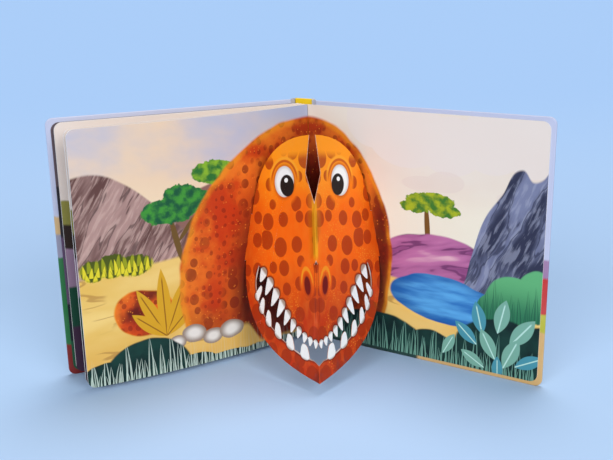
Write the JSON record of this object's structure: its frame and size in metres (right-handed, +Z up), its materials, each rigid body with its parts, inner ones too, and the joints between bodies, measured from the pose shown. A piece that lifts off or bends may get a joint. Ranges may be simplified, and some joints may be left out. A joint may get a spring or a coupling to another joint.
{
  "type": "pop-up book",
  "caption": "Hardback pop-up book standing open, with hinged covers, a fan of card leaves and a folded card animal head rising from the gutter.",
  "frame": {"origin": "middle of the spine board's foot, on the surface the book stands on", "axes": "+Z up along the spine, +X to the reader's right across the open spread, -Y towards the reader"},
  "size_m": [0.3572, 0.133, 0.2],
  "materials": {
    "leaf_card": "satin",
    "popup_card": "satin",
    "case_board": "satin",
    "page_paper": "satin",
    "spine_board": "satin",
    "joint_paper": "satin"
  },
  "bodies": {
    "block": {"page_block": "leaf_card", "popup_head": "popup_card"},
    "spine": {"spine": "spine_board", "front_hinge_strip": "joint_paper", "back_hinge_strip": "joint_paper"},
    "front_cover": {"front_cover": "case_board", "front_page": "page_paper"},
    "back_cover": {"back_cover": "case_board", "back_page": "page_paper"}
  },
  "joints": [
    {"name": "back_cover_hinge", "type": "hinge", "parent": "block", "child": "back_cover", "pos_m": [0.00144, -0.01119, 0], "axis": [0, 0, 1], "range_deg": [-98, 57], "deforming": ["popup_head", "back_hinge_strip"]},
    {"name": "front_cover_hinge", "type": "hinge", "parent": "block", "child": "front_cover", "pos_m": [-0.01213, -0.00062, 0], "axis": [0, 0, -1], "range_deg": [0, 138], "deforming": ["front_hinge_strip"]},
    {"name": "spine_turn", "type": "hinge", "parent": "block", "child": "spine", "pos_m": [-0.01213, -0.00062, 0], "axis": [0, 0, 1], "range_deg": [-17, 10]}
  ],
  "couplings": [
    {"joint": "spine_turn", "follows": "back_cover_hinge", "ratio": 0.16}
  ]
}
